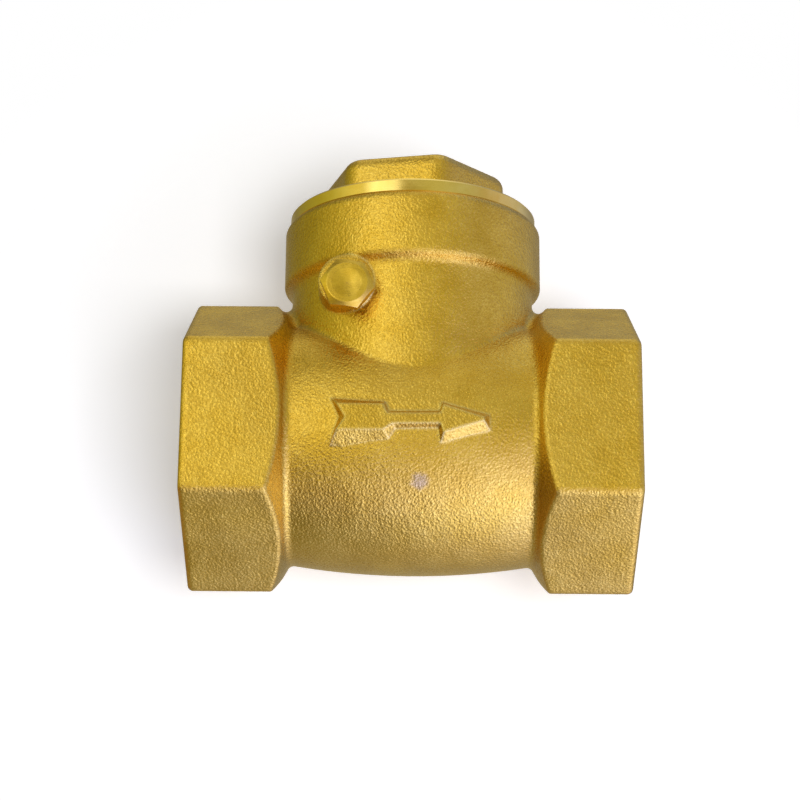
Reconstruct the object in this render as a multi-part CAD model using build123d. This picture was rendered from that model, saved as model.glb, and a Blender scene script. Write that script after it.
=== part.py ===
from build123d import *
import os
from math import cos, hypot, pi, radians, sin, sqrt, tan

# Swing check valve, 3/4 in (DN20), cast brass body with female parallel threads.
# Frame: origin at the centre of the inlet end face, +X with the flow, +Z up through the cap.
# The solids are drawn about the middle of the body and moved to that frame at the end.

# ---------------------------------------------------------------- driving dimensions (mm)
LENGTH = 54.5            # end to end
HALF = LENGTH / 2
AF = 32.0                # wrench flats of both end hexagons
HEX_CORNER = 1.1         # rounding of the long hexagon edges
END_ROUND = 0.7          # rounding of the outer end edges
SHOULDER_ROUND = 0.45    # rounding where the shoulder cone meets the flats

BARREL_R = 16.0          # barrel radius at mid length
BARREL_ARC = 92.0        # radius of the barrel's bulge along X
SHOULDER_X = 15.04       # the shoulder cone passes through radius 15.04 here
SHOULDER_SLOPE = 1.71    # radius gained per millimetre along X
SHOULDER_FILLET = 0.9    # casting fillet from barrel to shoulder
HEX_START = 15.3         # flats are cut from here outwards

NECK_R = 15.2            # neck radius under the collar
NECK_FOOT_R = 14.7       # and at NECK_FOOT_Z: the casting's draft
NECK_FOOT_Z = 5.0
COLLAR_R = 16.2
COLLAR_Z = 20.55         # where the collar's straight wall begins
COLLAR_TOP = 28.03
SADDLE_FILLET = 0.8      # casting fillet of neck to barrel

THREAD_MINOR = 12.06     # 3/4 in female thread, crest radius
THREAD_STEP = 12.18      # shoulder either side of each crest
THREAD_ROOT = 12.95      # bottom of the drawn grooves (the real root is 13.22)
THREAD_PITCH = 1.814
THREAD_TURNS = 6
THREAD_MOUTH = 1.25      # length of the lead-in chamfer

PORT_R = 8.2             # bore through the seat
SEAT_X = -8.5            # seat face
SEAT_LIP_R = 9.1
PARTITION_X = -10.0      # chamber side of the seat wall
CHAMBER_R = 13.5         # chamber radius at mid length
CHAMBER_END_X = 14.9
CHAMBER_END_R = 12.3
NECK_BORE_R = 12.7       # neck bore, and crest radius of the cap's female thread
NECK_FLOOR_Z = 12.3

CAP_PITCH = 1.5
CAP_ROOT_R = 13.45
GASKET_SEAT_R = 15.0
GASKET_SEAT_Z = 27.03

PIN_X, PIN_Z = -7.8, 16.1
PIN_R = 1.5
PIN_BORE_R = 1.55
PIN_Y0, PIN_Y1 = -11.5, 11.9
LUG_R, LUG_Y = 3.2, 6.5
BOSS_R, BOSS_Y, BOSS_Z, BOSS_SHIFT = 3.42, -14.65, 16.92, -0.15     # the hole is drilled a little off the cast boss's middle
PLUG_MINOR, PLUG_MAJOR, PLUG_PITCH = 1.62, 1.95, 0.7

FLANGE_R, FLANGE_Z0, FLANGE_Z1 = 15.6, 28.08, 29.8
HEAD_AF, HEAD_TOP, HEAD_TURN = 21.0, 35.2, 48.0
HEAD_CORNER, HEAD_EDGE = 2.8, 1.7     # rounding of the cast head's corners and top edge
SKIRT_R, SKIRT_Z = 12.6, 21.9

PLUG_AF = 5.75
PLUG_TURN = -7.7

DISC_R = 10.0


# ---------------------------------------------------------------- helpers
def face_of(edges):
    return make_face(Wire([e.edge() for e in edges]))


def polygon_lines(points, plane):
    """Straight edges through 2-D points, closed, in one of the planes XR (revolved about X) or RZ (about Z)."""
    lift = (lambda p: (p[0], p[1], 0)) if plane == "XR" else (lambda p: (p[0], 0, p[1]))
    pts = [lift(p) for p in points]
    return [Line(a, b) for a, b in zip(pts, pts[1:] + pts[:1])]


def turned_x(points):
    """A body of revolution about X from (x, r) points."""
    return revolve(face_of(polygon_lines(points, "XR")), Axis.X, 360)


def turned_z(points):
    """A body of revolution about Z from (r, z) points."""
    return revolve(face_of(polygon_lines(points, "RZ")), Axis.Z, 360)


def turned_y(points, x, z):
    """A body of revolution about the line parallel to Y through (x, z), from (r, y) points."""
    pts = [(x + r, y, z) for r, y in points]
    edges = [Line(a, b) for a, b in zip(pts, pts[1:] + pts[:1])]
    return revolve(face_of(edges), Axis((x, 0, z), (0, 1, 0)), 360)


def hexagon_x(x0, x1, across_flats, corner, turn=0.0):
    """Hexagonal bar along X, two flats facing +Y and -Y when turn is 0."""
    plane = Plane(origin=(x0, 0, 0), x_dir=(0, 0, 1), z_dir=(1, 0, 0))
    sketch = RegularPolygon(across_flats / 2, 6, major_radius=False, rotation=turn)
    if corner:
        sketch = fillet(sketch.vertices(), corner)
    return extrude(plane * sketch, x1 - x0)


def grooves(start, pitch, count, crest_r, root_r, half_angle, root_flat):
    """Points (along, r) of a run of thread grooves that begins at `start` on the crest radius."""
    depth = abs(root_r - crest_r)
    run = depth * tan(radians(half_angle))
    points = []
    for k in range(count):
        a = start + k * pitch
        points += [(a, crest_r), (a + run, root_r), (a + run + root_flat, root_r), (a + 2 * run + root_flat, crest_r)]
    return points


# ---------------------------------------------------------------- body: outside
def barrel_r(x):
    return BARREL_R - (BARREL_ARC - sqrt(BARREL_ARC**2 - x * x))


corner_x = SHOULDER_X
for _ in range(30):
    corner_x = SHOULDER_X + (barrel_r(corner_x) - SHOULDER_X) / SHOULDER_SLOPE
corner_r = barrel_r(corner_x)
blank_r = 20.0
cone_end = SHOULDER_X + (blank_r - SHOULDER_X) / SHOULDER_SLOPE
profile = Sketch() + face_of([
    ThreePointArc((-corner_x, corner_r), (0, BARREL_R), (corner_x, corner_r)),
    Line((corner_x, corner_r), (cone_end, blank_r)),
    Line((cone_end, blank_r), (HALF, blank_r)),
    Line((HALF, blank_r), (HALF, 0)),
    Line((HALF, 0), (-HALF, 0)),
    Line((-HALF, 0), (-HALF, blank_r)),
    Line((-HALF, blank_r), (-cone_end, blank_r)),
    Line((-cone_end, blank_r), (-corner_x, corner_r)),
])
profile = fillet([v for v in profile.vertices() if abs(v.Y - corner_r) < 0.01], SHOULDER_FILLET)
casting = revolve(profile, Axis.X, 360)
for side in (-1, 1):
    x0, x1 = (HEX_START, HALF + 1) if side > 0 else (-HALF - 1, -HEX_START)
    blank = Pos((x0 + x1) / 2, 0, 0) * Box(x1 - x0, 60, 60)
    casting = casting - (blank - hexagon_x(x0 - 0.01, x1 + 0.01, AF, HEX_CORNER))

# rounded outer end edges and shoulder edges of both hexagons
ends = [e for e in casting.edges() if abs(abs((e @ 0.5).X) - HALF) < 0.01 and abs(abs((e @ 0.1).X) - HALF) < 0.01]
casting = fillet(ends, END_ROUND)


def on_shoulder(e):
    pts = [e @ t for t in (0.05, 0.5, 0.95)]
    return all(
        abs(SHOULDER_X + (hypot(p.Y, p.Z) - SHOULDER_X) / SHOULDER_SLOPE - abs(p.X)) < 0.02 and hypot(p.Y, p.Z) > 15.95
        for p in pts
    )


casting = fillet([e for e in casting.edges() if on_shoulder(e)], SHOULDER_ROUND)

# neck and collar, one turned shape: the collar's underside rolls into the neck in an S
roll_out, roll_in, roll = 0.65, 0.85, radians(70.53)
c1 = (COLLAR_R - roll_out, COLLAR_Z)
p1 = (COLLAR_R, COLLAR_Z)
m1 = (c1[0] + roll_out * cos(roll / 2), c1[1] - roll_out * sin(roll / 2))
p2 = (c1[0] + roll_out * cos(roll), c1[1] - roll_out * sin(roll))
c2 = (NECK_R + roll_in, p2[1] - roll_in * sin(roll))
m2 = (c2[0] - roll_in * cos(roll / 2), c2[1] + roll_in * sin(roll / 2))
p3 = (NECK_R, c2[1])


def rz(p):
    return (p[0], 0, p[1])


def neck_r(z):
    return NECK_FOOT_R + (NECK_R - NECK_FOOT_R) * (z - NECK_FOOT_Z) / (p3[1] - NECK_FOOT_Z)


neck = revolve(face_of([
    Line((0, 0, 0), (neck_r(0), 0, 0)),
    Line((neck_r(0), 0, 0), rz(p3)),
    ThreePointArc(rz(p3), rz(m2), rz(p2)),
    ThreePointArc(rz(p2), rz(m1), rz(p1)),
    Line(rz(p1), (COLLAR_R, 0, COLLAR_TOP - 0.85)),
    ThreePointArc((COLLAR_R, 0, COLLAR_TOP - 0.85), (COLLAR_R - 0.13, 0, COLLAR_TOP - 0.35), (COLLAR_R - 0.5, 0, COLLAR_TOP)),
    Line((COLLAR_R - 0.5, 0, COLLAR_TOP), (0, 0, COLLAR_TOP)),
    Line((0, 0, COLLAR_TOP), (0, 0, 0)),
]), Axis.Z, 360)
casting = casting + neck
saddle = [
    e for e in casting.edges()
    if all(abs(hypot((e @ t).X, (e @ t).Y) - neck_r((e @ t).Z)) < 0.02 for t in (0.1, 0.5, 0.9)) and 0.5 < (e @ 0.5).Z < p3[1] - 0.1 and e.geom_type != GeomType.LINE
]
casting = casting.fillet(SADDLE_FILLET, saddle)
print("casting with saddle", casting.is_valid, round(casting.volume, 1))

# round boss on the neck for the pin plug
boss = turned_y([(0, -9.0), (BOSS_R, -9.0), (BOSS_R, BOSS_Y + 0.35), (BOSS_R - 0.1, BOSS_Y + 0.1), (BOSS_R - 0.35, BOSS_Y), (0, BOSS_Y)], PIN_X + BOSS_SHIFT, BOSS_Z)
casting = casting + boss
print("boss", casting.is_valid, round(casting.volume, 1))

# raised flow arrow on the front of the barrel, with sloping cast sides
ARROW_Y, ARROW_DEPTH, ARROW_SLOPE = -16.55, 1.33, 0.1     # the raised face leans back a little at its top
arrow_top = [
    (-8.8, 1.11), (-3.35, 1.09), (-2.9, -0.04), (3.44, 0.0), (3.75, 1.08), (8.47, -0.5), (8.52, -0.85),
    (3.75, -2.35), (3.45, -1.22), (-2.2, -1.3), (-3.3, -2.06), (-8.86, -2.12), (-7.78, -0.5),
]
arrow_base = [
    (-9.75, 2.2), (-2.6, 2.05), (-2.25, 0.95), (3.1, 1.0), (3.25, 2.1), (9.4, 0.3), (9.4, -2.0),
    (3.3, -3.75), (2.9, -1.95), (-1.7, -2.2), (-2.3, -3.35), (-9.65, -3.85), (-8.9, -0.25),
]


def ring(points, y, slope=0.0):
    pts = [(x, y + slope * z, z) for x, z in points]
    return Wire([Line(a, b).edge() for a, b in zip(pts, pts[1:] + pts[:1])])


arrow = Solid.make_loft([ring(arrow_base, ARROW_Y + ARROW_DEPTH), ring(arrow_top, ARROW_Y, ARROW_SLOPE)], True)
print("arrow", arrow.is_valid, round(arrow.volume, 1))
casting = casting + arrow
print("casting", casting.is_valid, round(casting.volume, 1), len(casting.solids()))

# ---------------------------------------------------------------- body: inside
thread = []
for k in range(THREAD_TURNS):
    mid = -HALF + THREAD_MOUTH + (k + 0.5) * THREAD_PITCH
    thread += [
        (mid - 0.67, THREAD_MINOR), (mid - 0.42, THREAD_STEP), (mid - 0.235, THREAD_STEP), (mid - 0.06, THREAD_ROOT),
        (mid + 0.06, THREAD_ROOT), (mid + 0.235, THREAD_STEP), (mid + 0.42, THREAD_STEP), (mid + 0.67, THREAD_MINOR),
    ]
mouth = [(-HALF - 1, 0), (-HALF - 1, 13.75), (-HALF, 13.75), (-HALF + THREAD_MOUTH, THREAD_MINOR)]
inlet = turned_x(mouth + thread + [(-14.9, THREAD_MINOR), (-13.9, 11.0), (-11.9, PORT_R), (SEAT_X + 1, PORT_R), (SEAT_X + 1, 0)])
outlet = turned_x([(-x, r) for x, r in mouth + thread] + [(CHAMBER_END_X, THREAD_MINOR), (CHAMBER_END_X - 0.2, 0)])


def chamber_r(x):
    sag = CHAMBER_R - CHAMBER_END_R
    arc = (CHAMBER_END_X**2 + sag**2) / (2 * sag)
    return CHAMBER_R - (arc - sqrt(arc**2 - x * x))


chamber = revolve(face_of([
    Line((SEAT_X, 0), (SEAT_X, SEAT_LIP_R)),
    Line((SEAT_X, SEAT_LIP_R), (PARTITION_X, SEAT_LIP_R + 0.5)),
    Line((PARTITION_X, SEAT_LIP_R + 0.5), (PARTITION_X, chamber_r(PARTITION_X))),
    ThreePointArc((PARTITION_X, chamber_r(PARTITION_X)), (2.0, chamber_r(2.0)), (CHAMBER_END_X, CHAMBER_END_R)),
    Line((CHAMBER_END_X, CHAMBER_END_R), (CHAMBER_END_X, 0)),
    Line((CHAMBER_END_X, 0), (SEAT_X, 0)),
]), Axis.X, 360)

cap_grooves = grooves(22.6, CAP_PITCH, 3, NECK_BORE_R, CAP_ROOT_R, 30, 0.2)
neck_bore = turned_z(
    [(0, NECK_FLOOR_Z), (NECK_BORE_R, NECK_FLOOR_Z)]
    + [(r, z) for z, r in cap_grooves]
    + [(NECK_BORE_R, GASKET_SEAT_Z), (GASKET_SEAT_R, GASKET_SEAT_Z), (GASKET_SEAT_R, COLLAR_TOP + 1), (0, COLLAR_TOP + 1)]
)
throat = turned_z([(0, 0), (NECK_BORE_R, 0), (NECK_BORE_R, NECK_FLOOR_Z + 0.5), (0, NECK_FLOOR_Z + 0.5)]) & (
    Pos(PARTITION_X + 20, 0, 10) * Box(40, 40, 40)
)
hollow = chamber + throat + neck_bore
lug_bar = turned_y([(0, LUG_Y), (LUG_R, LUG_Y), (LUG_R, 12.3), (0, 12.3)], PIN_X, PIN_Z)
hollow = hollow - lug_bar - mirror(lug_bar, Plane.XZ)
plug_grooves = grooves(-14.2, PLUG_PITCH, 3, PLUG_MINOR, PLUG_MAJOR, 30, 0.1)
pin_hole = turned_y(
    [(0, BOSS_Y - 1), (1.95, BOSS_Y - 1), (1.95, BOSS_Y), (PLUG_MINOR, BOSS_Y + 0.33)]
    + [(r, y) for y, r in plug_grooves]
    + [(PLUG_MINOR, -11.6), (PIN_BORE_R, -11.6), (PIN_BORE_R, 12.0), (0, 12.0)],
    PIN_X, PIN_Z,
)
body = casting - hollow - inlet - outlet - pin_hole
print("body", body.is_valid, round(body.volume, 1), len(body.solids()))

# ---------------------------------------------------------------- cap and its gasket
cap_ring = 0.25
skirt_grooves = grooves(22.7, CAP_PITCH, 3, SKIRT_R, 11.85, 30, 0.2)
cap = turned_z(
    [(0, 32.4), (7.0, 32.4), (8.0, 31.4), (8.0, 28.6), (10.2, 28.6), (10.2, SKIRT_Z), (SKIRT_R - 0.5, SKIRT_Z), (SKIRT_R, SKIRT_Z + 0.5)]
    + [(r, z) for z, r in skirt_grooves]
    + [(SKIRT_R, FLANGE_Z0), (FLANGE_R - 0.15, FLANGE_Z0), (FLANGE_R, FLANGE_Z0 + 0.15), (FLANGE_R, FLANGE_Z1 - cap_ring),
       (FLANGE_R - cap_ring, FLANGE_Z1), (12.6, FLANGE_Z1), (10.0, FLANGE_Z1 + 0.45), (9.0, FLANGE_Z1 + 0.45), (9.0, 33.5), (0, 33.5)]
)
head_sketch = RegularPolygon(HEAD_AF / 2, 6, major_radius=False, rotation=HEAD_TURN)
head_sketch = fillet(head_sketch.vertices(), HEAD_CORNER)
head = Pos(0, 0, FLANGE_Z1 - 0.4) * extrude(head_sketch, HEAD_TOP - FLANGE_Z1 + 0.4)
head = fillet([e for e in head.edges() if (e @ 0.5).Z > HEAD_TOP - 0.01 and (e @ 0.1).Z > HEAD_TOP - 0.01], HEAD_EDGE)
head = head - turned_z([(0, 28.0), (8.5, 28.0), (8.5, 33.0), (0, 33.0)])
cap = cap + head
print("cap", cap.is_valid, round(cap.volume, 1), len(cap.solids()))
cap_gasket = turned_z([(13.0, GASKET_SEAT_Z), (14.85, GASKET_SEAT_Z), (14.85, FLANGE_Z0), (13.0, FLANGE_Z0)])

# ---------------------------------------------------------------- hinge pin, plug and plug washer
hinge_pin = turned_y([(0, PIN_Y0), (PIN_R - 0.3, PIN_Y0), (PIN_R, PIN_Y0 + 0.3), (PIN_R, PIN_Y1 - 0.3), (PIN_R - 0.3, PIN_Y1), (0, PIN_Y1)], PIN_X, PIN_Z)
WASHER_Y, WASHER_R = BOSS_Y - 0.35, 2.85
HEAD_Y = -16.5
plug_washer = turned_y([(1.7, BOSS_Y), (WASHER_R, BOSS_Y), (WASHER_R, WASHER_Y), (1.7, WASHER_Y)], PIN_X, PIN_Z)
plug_plane = Plane(origin=(PIN_X, WASHER_Y, PIN_Z), x_dir=(1, 0, 0), z_dir=(0, -1, 0))
plug_hex = extrude(plug_plane * fillet(RegularPolygon(PLUG_AF / 2, 6, major_radius=False, rotation=PLUG_TURN).vertices(), 0.2), WASHER_Y - HEAD_Y)
plug_blank = turned_y([(0, WASHER_Y + 0.01), (3.0, WASHER_Y + 0.01), (3.4, WASHER_Y - 0.2), (3.4, HEAD_Y + 0.55), (2.45, HEAD_Y), (1.8, HEAD_Y), (0, HEAD_Y + 0.14)], PIN_X, PIN_Z)
shank_grooves = grooves(-14.25, PLUG_PITCH, 3, PLUG_MINOR - 0.05, 1.32, 30, 0.1)
plug_shank = turned_y(
    [(0, WASHER_Y - 0.5), (PLUG_MINOR - 0.05, WASHER_Y - 0.5)]
    + [(r, y) for y, r in shank_grooves]
    + [(PLUG_MINOR - 0.05, -11.95), (PLUG_MINOR - 0.3, -11.7), (0, -11.7)],
    PIN_X, PIN_Z,
)
pin_plug = (plug_hex & plug_blank) + plug_shank
print("pin_plug", pin_plug.is_valid, round(pin_plug.volume, 2), len(pin_plug.solids()))

# ---------------------------------------------------------------- swinging arm
ARM_X0, ARM_X1 = -4.3, -2.1
side = [(-9.3, 14.4), (-8.6, 13.45), (-4.3, 10.8), (ARM_X0, 0.0), (ARM_X1, 0.0), (ARM_X1, 11.7), (-5.6, 17.3), (-7.8, 18.0)]
side_pts = [(x, -3.7, z) for x, z in side]
arm = extrude(face_of([Line(a, b) for a, b in zip(side_pts, side_pts[1:] + side_pts[:1])]), 7.4, dir=(0, 1, 0))
arm = arm + turned_y([(0, -6.2), (2.5, -6.2), (2.8, -5.9), (2.8, 5.9), (2.5, 6.2), (0, 6.2)], PIN_X, PIN_Z)
arm = arm + turned_x([(ARM_X0, 0), (ARM_X0, 4.9), (ARM_X1, 4.9), (ARM_X1, 0)])
arm = arm - turned_y([(0, -8), (PIN_R + 0.06, -8), (PIN_R + 0.06, 8), (0, 8)], PIN_X, PIN_Z)
disc_arm = arm - turned_x([(-6, 0), (-6, 2.7), (0, 2.7), (0, 0)])
print("disc_arm", disc_arm.is_valid, round(disc_arm.volume, 1), len(disc_arm.solids()))

# ---------------------------------------------------------------- disc: holder with two studs, seal, washers, nuts
SEAL_X = SEAT_X + 0.02
front_stud = grooves(-11.6, 0.7, 3, 1.9, 1.6, 30, 0.1)
rear_stud = grooves(-1.75, 0.7, 3, 1.9, 1.6, 30, 0.1)
disc_holder = turned_x(
    [(-12.1, 0), (-12.1, 1.6), (-11.8, 1.9)]
    + front_stud
    + [(-6.5, 1.9), (-6.5, 9.5), (-7.7, 9.5), (-8.0, 9.7), (-8.0, DISC_R - 0.15), (-7.85, DISC_R), (-5.6, DISC_R), (-4.9, DISC_R - 0.9), (-4.7, DISC_R - 1.3), (-4.7, 3.7), (-4.4, 3.5), (-4.4, 2.6), (-2.05, 2.6), (-2.05, 1.9)]
    + rear_stud
    + [(0.55, 1.9), (0.85, 1.6), (0.85, 0)]
)
disc_seal = turned_x([(SEAL_X, 2.0), (SEAL_X, 9.15), (SEAL_X + 0.3, 9.42), (-6.5, 9.42), (-6.5, 2.0)])
seal_washer = turned_x([(SEAL_X - 0.9, 2.0), (SEAL_X - 0.9, 4.9), (SEAL_X - 0.6, 5.2), (SEAL_X, 5.2), (SEAL_X, 2.0)])


def nut_x(x0, x1, across_flats, bore, chamfer_both=True):
    r = across_flats / sqrt(3)
    blank_r0 = across_flats / 2 - 0.05
    c = (r - blank_r0) * tan(radians(30))
    points = [(x0, bore + 0.15), (x0, blank_r0), (x0 + c, r), (x1 - c, r), (x1, blank_r0), (x1, bore + 0.15), (x1 - 0.15, bore), (x0 + 0.15, bore)]
    return hexagon_x(x0 - 0.01, x1 + 0.01, across_flats, 0) & turned_x(points)


seal_nut = nut_x(SEAL_X - 3.1, SEAL_X - 0.9, 6.4, 1.93)
arm_washer = turned_x([(-2.05, 2.0), (-2.05, 3.7), (-1.95, 3.8), (-1.55, 3.8), (-1.45, 3.7), (-1.45, 2.0)])
arm_nut = nut_x(-1.45, 0.45, 6.4, 1.93)
for name, solid in (("disc_holder", disc_holder), ("disc_seal", disc_seal), ("seal_washer", seal_washer), ("seal_nut", seal_nut), ("arm_washer", arm_washer), ("arm_nut", arm_nut)):
    print(name, solid.is_valid, round(solid.volume, 2), len(solid.solids()))

# ---------------------------------------------------------------- write the parts
parts = {
    "body": body, "cap": cap, "cap_gasket": cap_gasket, "hinge_pin": hinge_pin, "pin_plug": pin_plug, "plug_washer": plug_washer,
    "disc_arm": disc_arm, "disc_holder": disc_holder, "disc_seal": disc_seal, "seal_washer": seal_washer, "seal_nut": seal_nut,
    "arm_washer": arm_washer, "arm_nut": arm_nut,
}
os.makedirs("parts", exist_ok=True)
for name, solid in parts.items():
    export_step(Pos(HALF, 0, 0) * solid, f"parts/{name}.step")
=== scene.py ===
import math

import bpy
from mathutils import Matrix, Vector


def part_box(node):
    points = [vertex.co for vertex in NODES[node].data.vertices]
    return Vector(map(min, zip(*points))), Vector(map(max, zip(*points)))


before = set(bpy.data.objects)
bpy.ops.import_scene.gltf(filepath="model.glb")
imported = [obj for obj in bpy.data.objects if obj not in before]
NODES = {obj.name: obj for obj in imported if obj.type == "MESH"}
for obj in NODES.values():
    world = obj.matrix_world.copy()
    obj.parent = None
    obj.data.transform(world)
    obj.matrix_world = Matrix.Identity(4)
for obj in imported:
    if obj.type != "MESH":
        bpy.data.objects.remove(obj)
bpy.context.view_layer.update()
BODY_LO, BODY_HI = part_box("body")
XC = (BODY_LO[0] + BODY_HI[0]) / 2          # middle of the body along the pipe
MM = 0.001

scene = bpy.context.scene
scene.view_settings.view_transform = "Standard"
scene.view_settings.look = "None"
scene.view_settings.exposure = 0.0
scene.view_settings.gamma = 1.0


# ------------------------------------------------------------------ camera
yaw, pitch, roll = math.radians(-0.284), math.radians(15.618), math.radians(0.505)
fwd = Vector((math.sin(yaw) * math.cos(pitch), math.cos(yaw) * math.cos(pitch), math.sin(pitch)))
right = Vector((math.cos(yaw), -math.sin(yaw), 0.0))
up = right.cross(fwd)
r2 = math.cos(roll) * right + math.sin(roll) * up
u2 = -math.sin(roll) * right + math.cos(roll) * up
target = Vector((XC - 1.448 * MM, 0.0, 6.142 * MM))
cam_data = bpy.data.cameras.new("camera")
cam_data.sensor_width = 36.0
cam_data.lens = 94.16
cam_data.clip_start, cam_data.clip_end = 0.01, 20.0
cam = bpy.data.objects.new("camera", cam_data)
scene.collection.objects.link(cam)
rot = Matrix((r2, u2, -fwd)).transposed().to_4x4()
cam.matrix_world = Matrix.Translation(target - fwd * 262.45 * MM) @ rot
scene.camera = cam


# ------------------------------------------------------------------ node helpers
class Mat:
    """A node material written as short calls. Lengths inside are millimetres in the row frame."""

    def __init__(self, name):
        self.mat = bpy.data.materials.new(name)
        self.mat.use_nodes = True
        self.nt = self.mat.node_tree
        for n in list(self.nt.nodes):
            self.nt.nodes.remove(n)
        self.out = self.nt.nodes.new("ShaderNodeOutputMaterial")
        tex = self.nt.nodes.new("ShaderNodeTexCoord")
        scale = self.nt.nodes.new("ShaderNodeVectorMath")
        scale.operation = "MULTIPLY_ADD"
        self.link(tex.outputs["Object"], scale.inputs[0])
        scale.inputs[1].default_value = (1000, 1000, 1000)
        scale.inputs[2].default_value = (-XC * 1000, 0, 0)
        self.p = scale.outputs[0]          # position in mm from the middle of the body
        sep = self.nt.nodes.new("ShaderNodeSeparateXYZ")
        self.link(self.p, sep.inputs[0])
        self.x, self.y, self.z = sep.outputs

    def link(self, a, b):
        self.nt.links.new(a, b)

    def put(self, socket, value):
        if isinstance(value, bpy.types.NodeSocket):
            self.link(value, socket)
        elif value is not None:
            socket.default_value = value

    def math(self, op, a, b=None, c=None, clamp=False):
        n = self.nt.nodes.new("ShaderNodeMath")
        n.operation = op
        n.use_clamp = clamp
        self.put(n.inputs[0], a)
        self.put(n.inputs[1], b)
        self.put(n.inputs[2], c)
        return n.outputs[0]

    def ramp(self, v, lo, hi, out_lo=0.0, out_hi=1.0, smooth=True):
        n = self.nt.nodes.new("ShaderNodeMapRange")
        n.interpolation_type = "SMOOTHSTEP" if smooth else "LINEAR"
        n.clamp = True
        self.put(n.inputs["Value"], v)
        n.inputs["From Min"].default_value = lo
        n.inputs["From Max"].default_value = hi
        n.inputs["To Min"].default_value = out_lo
        n.inputs["To Max"].default_value = out_hi
        return n.outputs["Result"]

    def noise(self, scale, detail=2.0, rough=0.5, offset=(0, 0, 0), stretch=(1, 1, 1), distortion=0.0, vec=None):
        m = self.nt.nodes.new("ShaderNodeMapping")
        self.link(vec or self.p, m.inputs["Vector"])
        m.inputs["Location"].default_value = offset
        m.inputs["Scale"].default_value = stretch
        n = self.nt.nodes.new("ShaderNodeTexNoise")
        n.inputs["Scale"].default_value = scale
        n.inputs["Detail"].default_value = detail
        n.inputs["Roughness"].default_value = rough
        n.inputs["Distortion"].default_value = distortion
        self.link(m.outputs[0], n.inputs["Vector"])
        return n.outputs["Fac"]

    def voronoi(self, scale, feature="F1", output="Distance", randomness=1.0, smooth=0.5):
        n = self.nt.nodes.new("ShaderNodeTexVoronoi")
        n.feature = feature
        n.inputs["Scale"].default_value = scale
        n.inputs["Randomness"].default_value = randomness
        if feature == "SMOOTH_F1":
            n.inputs["Smoothness"].default_value = smooth
        self.link(self.p, n.inputs["Vector"])
        return n.outputs[output]

    def mix(self, fac, a, b, blend="MIX"):
        n = self.nt.nodes.new("ShaderNodeMix")
        n.data_type = "RGBA"
        n.blend_type = blend
        n.clamp_factor = True
        self.put(n.inputs["Factor"], fac)
        self.put(n.inputs[6], a if isinstance(a, bpy.types.NodeSocket) else (*a, 1.0))
        self.put(n.inputs[7], b if isinstance(b, bpy.types.NodeSocket) else (*b, 1.0))
        return n.outputs[2]

    def lerp(self, fac, a, b):
        n = self.nt.nodes.new("ShaderNodeMix")
        n.data_type = "FLOAT"
        n.clamp_factor = True
        self.put(n.inputs["Factor"], fac)
        self.put(n.inputs[2], a)
        self.put(n.inputs[3], b)
        return n.outputs[0]

    def soft_normal(self, radius_mm, samples=4):
        """The surface normal with sharp edges rounded off by radius_mm."""
        n = self.nt.nodes.new("ShaderNodeBevel")
        n.samples = samples
        if isinstance(radius_mm, bpy.types.NodeSocket):
            self.link(self.math("MULTIPLY", radius_mm, MM), n.inputs["Radius"])
        else:
            n.inputs["Radius"].default_value = radius_mm * MM
        return n.outputs[0]

    def bump(self, height, distance_mm, strength=1.0, normal=None):
        n = self.nt.nodes.new("ShaderNodeBump")
        n.inputs["Strength"].default_value = strength
        n.inputs["Distance"].default_value = distance_mm * MM
        self.put(n.inputs["Height"], height)
        if normal is not None:
            self.link(normal, n.inputs["Normal"])
        return n.outputs[0]

    def radius(self, a, b):
        return self.math("SQRT", self.math("ADD", self.math("MULTIPLY", a, a), self.math("MULTIPLY", b, b)))

    def edge(self, radius_mm, samples=6):
        """0 on open surface, towards 1 on sharp outer and inner edges."""
        bev = self.nt.nodes.new("ShaderNodeBevel")
        bev.samples = samples
        bev.inputs["Radius"].default_value = radius_mm * MM
        geo = self.nt.nodes.new("ShaderNodeNewGeometry")
        dot = self.nt.nodes.new("ShaderNodeVectorMath")
        dot.operation = "DOT_PRODUCT"
        self.link(bev.outputs[0], dot.inputs[0])
        self.link(geo.outputs["Normal"], dot.inputs[1])
        return self.math("SUBTRACT", 1.0, dot.outputs["Value"], clamp=True)

    def hollow(self, distance_mm, samples=6):
        """1 on open surface, towards 0 in corners and grooves."""
        n = self.nt.nodes.new("ShaderNodeAmbientOcclusion")
        n.samples = samples
        n.inputs["Distance"].default_value = distance_mm * MM
        return n.outputs["AO"]

    def shader(self, color, roughness, normal=None, metallic=1.0, **more):
        b = self.nt.nodes.new("ShaderNodeBsdfPrincipled")
        self.put(b.inputs["Base Color"], color if isinstance(color, bpy.types.NodeSocket) else (*color, 1.0))
        self.put(b.inputs["Roughness"], roughness)
        b.inputs["Metallic"].default_value = metallic
        if normal is not None:
            self.link(normal, b.inputs["Normal"])
        for k, v in more.items():
            b.inputs[k].default_value = v
        self.link(b.outputs[0], self.out.inputs["Surface"])
        return self.mat


BRASS_LIGHT = (0.93, 0.66, 0.145)
BRASS_MID = (0.80, 0.535, 0.085)
BRASS_DARK = (0.60, 0.37, 0.04)
BRASS_GREY = (0.66, 0.50, 0.20)
BRASS_BLOTCH = (0.52, 0.33, 0.06)


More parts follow.
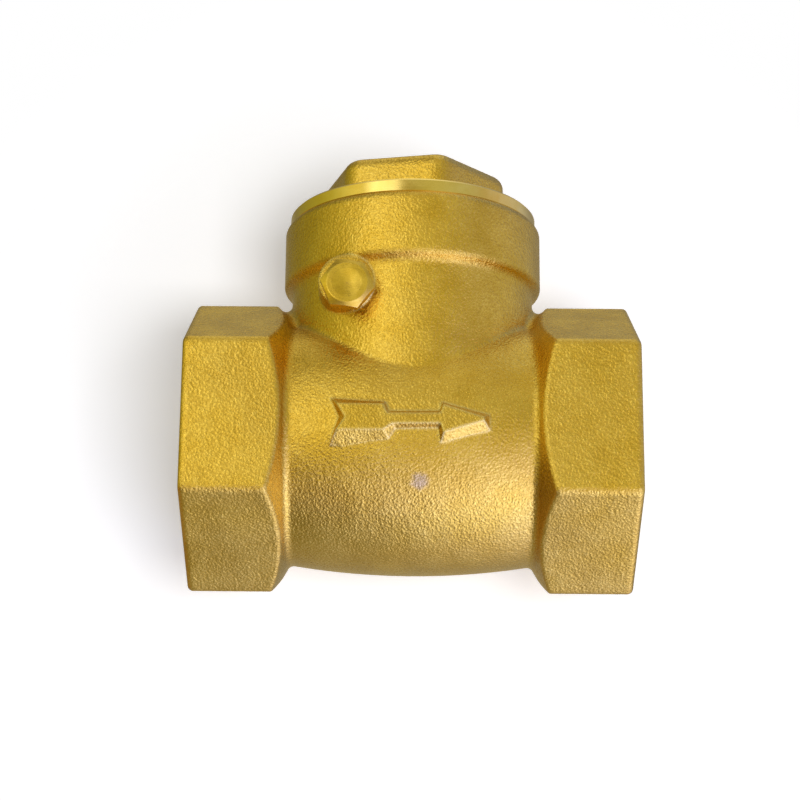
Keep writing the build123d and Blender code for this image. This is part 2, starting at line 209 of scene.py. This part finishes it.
def cast_layers(m, soften=0.4):
    """Sandblasted cast brass: colour, roughness and normal. The colour also holds painted shade in hollows,
    painted glints, and lighter edges that are partly painted highlight.
    """
    fine = m.noise(3.6, 3.0, 0.65)                      # blasted grain, about a quarter of a millimetre
    grain = m.voronoi(3.2, "SMOOTH_F1", smooth=0.3)
    pits = m.noise(1.3, 2.0, 0.5, (11, 3, 7))
    cloud = m.noise(0.22, 3.0, 0.55, (3, 9, 1))
    wide = m.noise(0.06, 2.0, 0.5, (5, 2, 8))
    ao = m.hollow(2.0)
    edge = m.ramp(m.edge(0.55), 0.008, 0.08)
    sparkle = m.noise(1.9, 1.0, 0.5, (6, 1, 9))
    color = m.mix(m.ramp(cloud, 0.32, 0.68), BRASS_MID, BRASS_LIGHT)
    color = m.mix(m.ramp(wide, 0.35, 0.65, 0.0, 0.30), color, BRASS_GREY)
    color = m.mix(m.ramp(fine, 0.34, 0.68, 0.50, 0.0), color, BRASS_DARK)
    color = m.mix(m.ramp(pits, 0.62, 0.80, 0.0, 0.40), color, BRASS_BLOTCH)
    # painted glints: lighter brass specks where the sparkle noise peaks
    color = m.mix(m.ramp(sparkle, 0.58, 0.74, 0.0, 0.16), color, (1.0, 0.80, 0.27))
    # painted shade: the brass is darkened towards BRASS_DARK in corners and grooves, where the ambient occlusion
    # is low
    color = m.mix(m.ramp(ao, 0.30, 0.90, 0.50, 0.0), color, BRASS_DARK)
    # lighter brass along sharp outer and inner edges: partly polished wear, partly painted highlight
    color = m.mix(m.math("MULTIPLY", edge, 0.65), color, (1.0, 0.85, 0.42))
    rough = m.ramp(fine, 0.30, 0.72, 0.32, 0.18)
    rough = m.math("SUBTRACT", rough, m.ramp(sparkle, 0.55, 0.72, 0.0, 0.04))
    rough = m.math("ADD", rough, m.ramp(cloud, 0.3, 0.7, -0.03, 0.05))
    rough = m.math("SUBTRACT", rough, m.math("MULTIPLY", edge, 0.06))
    height = m.math("ADD", m.math("MULTIPLY", fine, 0.8), m.math("MULTIPLY", grain, 0.45))
    height = m.math("ADD", height, m.math("MULTIPLY", pits, 0.25))
    height = m.math("ADD", height, m.math("MULTIPLY", sparkle, 0.18))
    n1 = m.bump(cloud, 0.30, 0.35, m.soft_normal(soften))
    n2 = m.bump(height, 0.11, 0.85, n1)
    return color, rough, n2, fine


def turned_layers(m, along, scale=2.6):
    """Turned brass: fine rings that follow the value `along`, in mm."""
    comb = m.nt.nodes.new("ShaderNodeCombineXYZ")
    m.put(comb.inputs[0], along)
    rings = m.noise(scale * 2.2, 4.0, 0.7, vec=comb.outputs[0])
    stain = m.noise(0.35, 3.0, 0.6, (4, 4, 4))
    speck = m.noise(2.4, 2.0, 0.6, (9, 1, 2))
    color = m.mix(m.ramp(stain, 0.3, 0.7), (0.90, 0.66, 0.20), (0.97, 0.76, 0.30))
    color = m.mix(m.ramp(speck, 0.62, 0.8, 0.0, 0.35), color, (0.62, 0.42, 0.10))
    rough = m.math("ADD", m.ramp(rings, 0.3, 0.7, 0.13, 0.22), m.ramp(stain, 0.35, 0.7, 0.0, 0.07))
    normal = m.bump(rings, 0.012, 0.6)
    return color, rough, normal


def blend_normal(m, fac, a, b):
    n = m.nt.nodes.new("ShaderNodeMix")
    n.data_type = "VECTOR"
    n.clamp_factor = True
    m.put(n.inputs["Factor"], fac)
    m.link(a, n.inputs[4])
    m.link(b, n.inputs[5])
    return n.outputs[1]


def body_material():
    m = Mat("cast_brass_body")
    # cast edges are rounded, most of all where the collar turns in to the neck
    turn_in = m.math("MULTIPLY", m.ramp(m.z, 17.8, 19.0), m.ramp(m.z, 21.6, 22.6, 1.0, 0.0))
    color, rough, normal, fine = cast_layers(m, m.math("MULTIPLY_ADD", turn_in, 0.45, 0.6))
    # machined: the end faces, both threads and bores, the collar's top ring and the neck's bore
    r_pipe = m.radius(m.y, m.z)
    r_neck = m.radius(m.x, m.y)
    ends = m.math("GREATER_THAN", m.math("ABSOLUTE", m.x), 27.2)
    bores = m.math("LESS_THAN", r_pipe, 13.9)
    far = m.math("GREATER_THAN", m.math("ABSOLUTE", m.x), 14.8)
    bores = m.math("MULTIPLY", bores, far)
    top = m.math("GREATER_THAN", m.z, 27.99)
    neck = m.math("MULTIPLY", m.math("LESS_THAN", r_neck, 15.05), m.math("GREATER_THAN", m.z, 20.0))
    mask = m.math("MAXIMUM", m.math("MAXIMUM", ends, bores), m.math("MAXIMUM", top, neck))
    tc, tr, tn = turned_layers(m, m.math("ADD", r_pipe, m.x))
    color = m.mix(mask, color, tc)
    rough = m.lerp(mask, rough, tr)
    normal = blend_normal(m, mask, normal, tn)
    # a small grey rub mark on the front of the barrel
    dx = m.math("SUBTRACT", m.x, 1.05)
    dz = m.math("ADD", m.z, 7.6)
    spot = m.radius(dx, m.math("MULTIPLY", dz, 1.2))
    spot = m.math("ADD", spot, m.math("MULTIPLY", m.noise(1.1, 3.0, 0.6, (2, 7, 5)), 1.2))
    spot = m.ramp(spot, 1.0, 2.1, 1.0, 0.0)
    spot = m.math("MULTIPLY", spot, m.math("LESS_THAN", m.y, -5.0))
    color = m.mix(m.math("MULTIPLY", spot, 0.60), color, (0.55, 0.46, 0.42))
    return m.shader(color, rough, normal)


def cap_material():
    m = Mat("cap_brass")
    color, rough, normal, fine = cast_layers(m, 0.6)
    r = m.radius(m.x, m.y)
    rim = m.math("LESS_THAN", m.z, 29.93)
    tc, tr, tn = turned_layers(m, m.math("ADD", r, m.z), 1.6)
    color = m.mix(rim, color, tc)
    rough = m.lerp(rim, rough, tr)
    normal = blend_normal(m, rim, normal, tn)
    return m.shader(color, rough, normal)


def turned_material(name, axis, tint=(1, 1, 1)):
    m = Mat(name)
    r = {"x": m.radius(m.y, m.z), "y": m.radius(m.x, m.z), "z": m.radius(m.x, m.y)}[axis]
    along = {"x": m.x, "y": m.y, "z": m.z}[axis]
    color, rough, normal = turned_layers(m, m.math("ADD", r, along), 2.2)
    edge = m.ramp(m.edge(0.25), 0.02, 0.2)
    ao = m.hollow(0.9)
    # painted shade: the brass is darkened towards BRASS_DARK in corners and grooves, where the ambient occlusion
    # is low
    color = m.mix(m.ramp(ao, 0.3, 0.9, 0.6, 0.0), color, BRASS_DARK)
    # lighter brass along sharp outer and inner edges: partly polished wear, partly painted highlight
    color = m.mix(m.math("MULTIPLY", edge, 0.5), color, (0.98, 0.84, 0.45))
    color = m.mix(1.0, color, tint, "MULTIPLY")
    scratch = m.noise(1.6, 4.0, 0.7, (1, 6, 2), (6, 1, 1))
    rough = m.math("ADD", rough, m.ramp(scratch, 0.45, 0.75, 0.0, 0.12))
    return m.shader(color, rough, m.bump(scratch, 0.02, 0.4, normal))


def plug_material():
    m = Mat("plug_brass")
    color, rough, normal = turned_layers(m, m.math("ADD", m.radius(m.math("ADD", m.x, 7.8), m.math("SUBTRACT", m.z, 16.1)), m.y), 1.8)
    dents = m.noise(0.55, 1.0, 0.4, (7, 1, 3))
    smear = m.noise(1.5, 4.0, 0.65, (2, 5, 9), (1, 1, 3))
    edge = m.ramp(m.edge(0.3), 0.02, 0.2)
    ao = m.hollow(1.1)
    color = m.mix(1.0, color, (0.92, 0.85, 0.44), "MULTIPLY")
    color = m.mix(m.ramp(smear, 0.4, 0.7, 0.0, 0.6), color, (0.70, 0.49, 0.06))
    # painted shade: the plug is darkened towards brown in corners and grooves, where the ambient occlusion is
    # low
    color = m.mix(m.ramp(ao, 0.25, 0.9, 0.75, 0.0), color, (0.50, 0.30, 0.05))
    # lighter brass along sharp outer and inner edges: partly polished wear, partly painted highlight
    color = m.mix(m.math("MULTIPLY", edge, 0.6), color, (1.0, 0.85, 0.42))
    rough = m.math("ADD", rough, m.ramp(smear, 0.3, 0.7, 0.02, 0.16))
    soft = m.soft_normal(0.18)
    return m.shader(color, rough, m.bump(dents, 0.30, 0.30, m.bump(smear, 0.02, 0.4, soft)))


def steel_material():
    m = Mat("ground_steel")
    lay = m.noise(5.0, 4.0, 0.7, (0, 0, 0), (1, 0.08, 1))
    stain = m.noise(0.5, 3.0, 0.6, (3, 3, 3))
    color = m.mix(m.ramp(stain, 0.3, 0.7), (0.50, 0.50, 0.52), (0.66, 0.66, 0.67))
    rough = m.math("ADD", m.ramp(lay, 0.3, 0.7, 0.18, 0.32), m.ramp(stain, 0.3, 0.7, 0.0, 0.06))
    return m.shader(color, rough, m.bump(lay, 0.012, 0.7))


def rubber_material():
    m = Mat("rubber")
    grain = m.noise(4.5, 3.0, 0.6)
    dust = m.noise(0.6, 4.0, 0.65, (8, 2, 4))
    color = m.mix(m.ramp(dust, 0.45, 0.75, 0.0, 0.7), (0.012, 0.012, 0.012), (0.05, 0.048, 0.044))
    rough = m.ramp(dust, 0.3, 0.7, 0.55, 0.75)
    return m.shader(color, rough, m.bump(grain, 0.02, 0.6), metallic=0.0)


def ptfe_material():
    m = Mat("ptfe")
    grain = m.noise(3.0, 3.0, 0.6)
    stain = m.noise(0.5, 3.0, 0.6, (8, 1, 4))
    color = m.mix(m.ramp(stain, 0.35, 0.75), (0.80, 0.80, 0.77), (0.62, 0.60, 0.54))
    rough = m.ramp(grain, 0.3, 0.7, 0.38, 0.52)
    return m.shader(color, rough, m.bump(grain, 0.015, 0.5), metallic=0.0)


def dress(node, mat):
    o = NODES[node]
    o.data.materials.clear()
    o.data.materials.append(mat)


turned = turned_material("turned_brass", "x")
dress("body", body_material())
dress("cap", cap_material())
dress("pin_plug", plug_material())
dress("hinge_pin", steel_material())
dress("cap_gasket", ptfe_material())
dress("plug_washer", turned_material("washer_brass", "y", (0.95, 0.86, 0.74)))
dress("disc_seal", rubber_material())
arm_mat = Mat("arm_brass")
_c, _r, _n, _ = cast_layers(arm_mat)
dress("disc_arm", arm_mat.shader(_c, _r, _n))
for node in ("disc_holder", "seal_washer", "seal_nut", "arm_washer", "arm_nut"):
    dress(node, turned)


# ------------------------------------------------------------------ stage
def stage_plane(name, y, size):
    mesh = bpy.data.meshes.new(name)
    s = size
    mesh.from_pydata([(-s, 0, -s), (s, 0, -s), (s, 0, s), (-s, 0, s)], [], [(0, 1, 2, 3)])
    o = bpy.data.objects.new(name, mesh)
    o.location = (XC, y, 0)
    scene.collection.objects.link(o)
    m = bpy.data.materials.new(name)
    m.use_nodes = True
    nt = m.node_tree
    for n in list(nt.nodes):
        nt.nodes.remove(n)
    out = nt.nodes.new("ShaderNodeOutputMaterial")
    geo = nt.nodes.new("ShaderNodeNewGeometry")
    dif = nt.nodes.new("ShaderNodeBsdfDiffuse")
    dif.inputs["Color"].default_value = (0.96, 0.96, 0.97, 1)
    glow = nt.nodes.new("ShaderNodeEmission")
    glow.inputs["Color"].default_value = (1, 1, 1, 1)
    glow.inputs["Strength"].default_value = 0.365
    both = nt.nodes.new("ShaderNodeAddShader")
    nt.links.new(dif.outputs[0], both.inputs[0])
    nt.links.new(glow.outputs[0], both.inputs[1])
    clear = nt.nodes.new("ShaderNodeBsdfTransparent")
    mixn = nt.nodes.new("ShaderNodeMixShader")
    # the table fades out away from the part, so that it doesn't show as a strip from the side
    where = nt.nodes.new("ShaderNodeTexCoord")
    away = nt.nodes.new("ShaderNodeVectorMath")
    away.operation = "LENGTH"
    nt.links.new(where.outputs["Object"], away.inputs[0])
    fade = nt.nodes.new("ShaderNodeMapRange")
    fade.interpolation_type = "SMOOTHSTEP"
    fade.inputs["From Min"].default_value = 0.042
    fade.inputs["From Max"].default_value = 0.075
    nt.links.new(away.outputs["Value"], fade.inputs["Value"])
    hide = nt.nodes.new("ShaderNodeMath")
    hide.operation = "MAXIMUM"
    nt.links.new(fade.outputs["Result"], hide.inputs[0])
    nt.links.new(geo.outputs["Backfacing"], hide.inputs[1])
    nt.links.new(hide.outputs[0], mixn.inputs[0])
    nt.links.new(both.outputs[0], mixn.inputs[1])
    nt.links.new(clear.outputs[0], mixn.inputs[2])
    nt.links.new(mixn.outputs[0], out.inputs["Surface"])
    o.data.materials.append(m)
    o.visible_diffuse = False
    o.visible_glossy = False
    o.visible_transmission = False
    o.visible_shadow = False
    return o


table = stage_plane("table", BODY_HI[1] + 0.0001, 0.3)


# ------------------------------------------------------------------ light
# The studio as soft round lobes of light: azimuth in degrees left of -Y, elevation, sharpness, and brightness in red, green and blue.
LOBES = [
    (-60, -55, 12, 1.423, 1.715, 2.698),
    (-20, -55, 12, 0.731, 0.541, 0.525),
    (120, -55, 12, 0.101, 0.128, 0.000),
    (240, -55, 12, 1.204, 1.116, 1.759),
    (-50, -28, 14, 0.596, 0.520, 1.526),
    (-17, -28, 14, 0.376, 0.405, 0.369),
    (-82, -2, 14, 0.362, 0.463, 0.339),
    (-50, -2, 14, 0.075, 0.000, 0.000),
    (-17, -2, 14, 0.493, 0.446, 0.043),
    (17, -2, 14, 0.723, 0.649, 0.308),
    (50, -2, 14, 0.437, 0.354, 0.000),
    (-82, 24, 14, 0.202, 0.097, 0.058),
    (-50, 24, 14, 0.240, 0.311, 0.222),
    (-17, 24, 14, 0.013, 0.028, 0.000),
    (50, 24, 14, 0.534, 0.514, 0.206),
    (82, 24, 14, 0.236, 0.234, 0.000),
    (-24, 50, 13, 0.667, 0.562, 0.197),
    (245, 50, 13, 0.087, 0.160, 0.415),
    (180, 76, 12, 0.933, 0.855, 0.409),
    (270, 76, 12, 0.082, 0.131, 0.291),
    (115, 10, 10, 0.222, 0.233, 0.010),
    (245, 10, 10, 0.447, 0.449, 0.470),
    (115, -25, 10, 0.251, 0.065, 0.000),
    (180, 10, 8, 0.320, 0.300, 0.220),
    (180, -35, 8, 0.280, 0.260, 0.190),
]


def towards(azimuth, elevation):
    a, e = math.radians(azimuth), math.radians(elevation)
    return Vector((-math.sin(a) * math.cos(e), -math.cos(a) * math.cos(e), math.sin(e)))


world = bpy.data.worlds.new("studio")
scene.world = world
world.use_nodes = True
nt = world.node_tree
for n in list(nt.nodes):
    nt.nodes.remove(n)
wout = nt.nodes.new("ShaderNodeOutputWorld")
path = nt.nodes.new("ShaderNodeLightPath")
tex = nt.nodes.new("ShaderNodeTexCoord")
base = nt.nodes.new("ShaderNodeRGB")
base.outputs[0].default_value = (0.090, 0.080, 0.060, 1)
total = base.outputs[0]
for az, el, k, wr, wg, wb in LOBES:
    dot = nt.nodes.new("ShaderNodeVectorMath")
    dot.operation = "DOT_PRODUCT"
    nt.links.new(tex.outputs["Generated"], dot.inputs[0])
    dot.inputs[1].default_value = towards(az, el)
    arg = nt.nodes.new("ShaderNodeMath")
    arg.operation = "MULTIPLY_ADD"
    nt.links.new(dot.outputs["Value"], arg.inputs[0])
    arg.inputs[1].default_value = k
    arg.inputs[2].default_value = -k
    lobe = nt.nodes.new("ShaderNodeMath")
    lobe.operation = "EXPONENT"
    nt.links.new(arg.outputs[0], lobe.inputs[0])
    add = nt.nodes.new("ShaderNodeVectorMath")
    add.operation = "MULTIPLY_ADD"
    nt.links.new(lobe.outputs[0], add.inputs[0])
    add.inputs[1].default_value = (wr, wg, wb)
    nt.links.new(total, add.inputs[2])
    total = add.outputs[0]
gloss = nt.nodes.new("ShaderNodeBackground")
nt.links.new(total, gloss.inputs["Color"])
soft = nt.nodes.new("ShaderNodeBackground")
soft.inputs["Color"].default_value = (0.18, 0.18, 0.18, 1)
seen = nt.nodes.new("ShaderNodeBackground")
seen.inputs["Color"].default_value = (1, 1, 1, 1)
pick_diffuse = nt.nodes.new("ShaderNodeMixShader")
nt.links.new(path.outputs["Is Diffuse Ray"], pick_diffuse.inputs[0])
nt.links.new(gloss.outputs[0], pick_diffuse.inputs[1])
nt.links.new(soft.outputs[0], pick_diffuse.inputs[2])
pick_camera = nt.nodes.new("ShaderNodeMixShader")
nt.links.new(path.outputs["Is Camera Ray"], pick_camera.inputs[0])
nt.links.new(pick_diffuse.outputs[0], pick_camera.inputs[1])
nt.links.new(seen.outputs[0], pick_camera.inputs[2])
nt.links.new(pick_camera.outputs[0], wout.inputs["Surface"])


def soft_light(name, azimuth, elevation, distance, width, height, power, diffuse, glossy, color=(1, 1, 1)):
    d = towards(azimuth, elevation)
    data = bpy.data.lights.new(name, "AREA")
    data.shape = "RECTANGLE"
    data.size, data.size_y = width, height
    data.energy = power
    data.color = color
    o = bpy.data.objects.new(name, data)
    o.location = Vector((XC, 0, 0.008)) + d * distance
    o.rotation_mode = "QUATERNION"
    o.rotation_quaternion = (-d).to_track_quat("-Z", "Y")
    scene.collection.objects.link(o)
    o.visible_camera = False
    o.visible_diffuse = diffuse
    o.visible_glossy = glossy
    return o


# a light of this size and power looks as bright as `value` when it is reflected
KEY = (0.86, 0.85, 0.72)
key_value = max(KEY)
soft_light("key_left", 27, 22, 0.9, 0.42, 0.95, key_value * 0.42 * 0.95 * math.pi, False, True, tuple(v / key_value for v in KEY))
soft_light("table_light", -16, -16, 0.9, 0.36, 0.36, 4.3, True, False)
